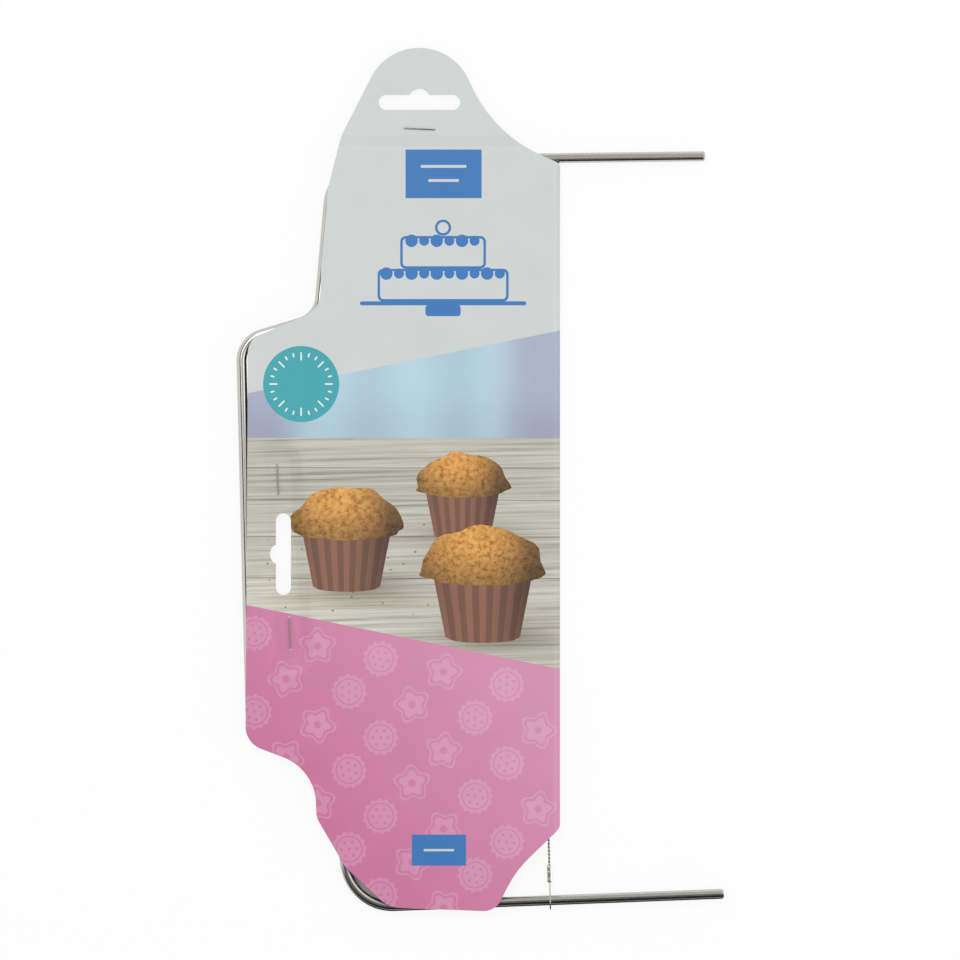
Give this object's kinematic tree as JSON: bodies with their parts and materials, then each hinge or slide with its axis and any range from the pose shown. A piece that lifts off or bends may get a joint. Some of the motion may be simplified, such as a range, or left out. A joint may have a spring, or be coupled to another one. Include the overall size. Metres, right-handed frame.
{
  "type": "cake leveler",
  "caption": "Bent steel rod arch with a taut cutting wire across its notched legs, held in a folded and stapled hanging card.",
  "frame": {"origin": "on the card's back face, on the centre line between the legs, half way between the handle and the leg tips", "axes": "+X from the handle towards the leg tips, +Y across the legs towards the hanging tab, +Z out of the printed front"},
  "size_m": [0.188, 0.3432, 0.007],
  "materials": {
    "rod_steel": "mirror-polished stainless steel rod",
    "weld_metal": "dull weld metal",
    "wire_steel": "fine twisted stainless strands",
    "ferrule_metal": "crimped sleeve, slightly dull",
    "printed_card": "coated paperboard with a satin print",
    "staple_wire": "bright galvanised wire"
  },
  "bodies": {
    "frame": {"frame_rod": "rod_steel", "grip_crossbar": "rod_steel", "weld_beads": "weld_metal", "display_card": "printed_card", "staples": "staple_wire"},
    "upper_end": {"upper_eye": "wire_steel"},
    "wire": {"upper_ferrule": "ferrule_metal", "cutting_wire": "wire_steel", "lower_ferrule": "ferrule_metal", "lower_eye": "wire_steel"}
  },
  "joints": [
    {"name": "wire_height", "type": "slide", "parent": "frame", "child": "upper_end", "axis": [0.9999, -0.0122, 0], "range_m": [-0.033, 0.003]},
    {"name": "wire_slant", "type": "hinge", "parent": "upper_end", "child": "wire", "pos_m": [0.0251, 0.13937, 0.0035], "axis": [0, 0, 1], "range_deg": [-1.2, 0]}
  ]
}
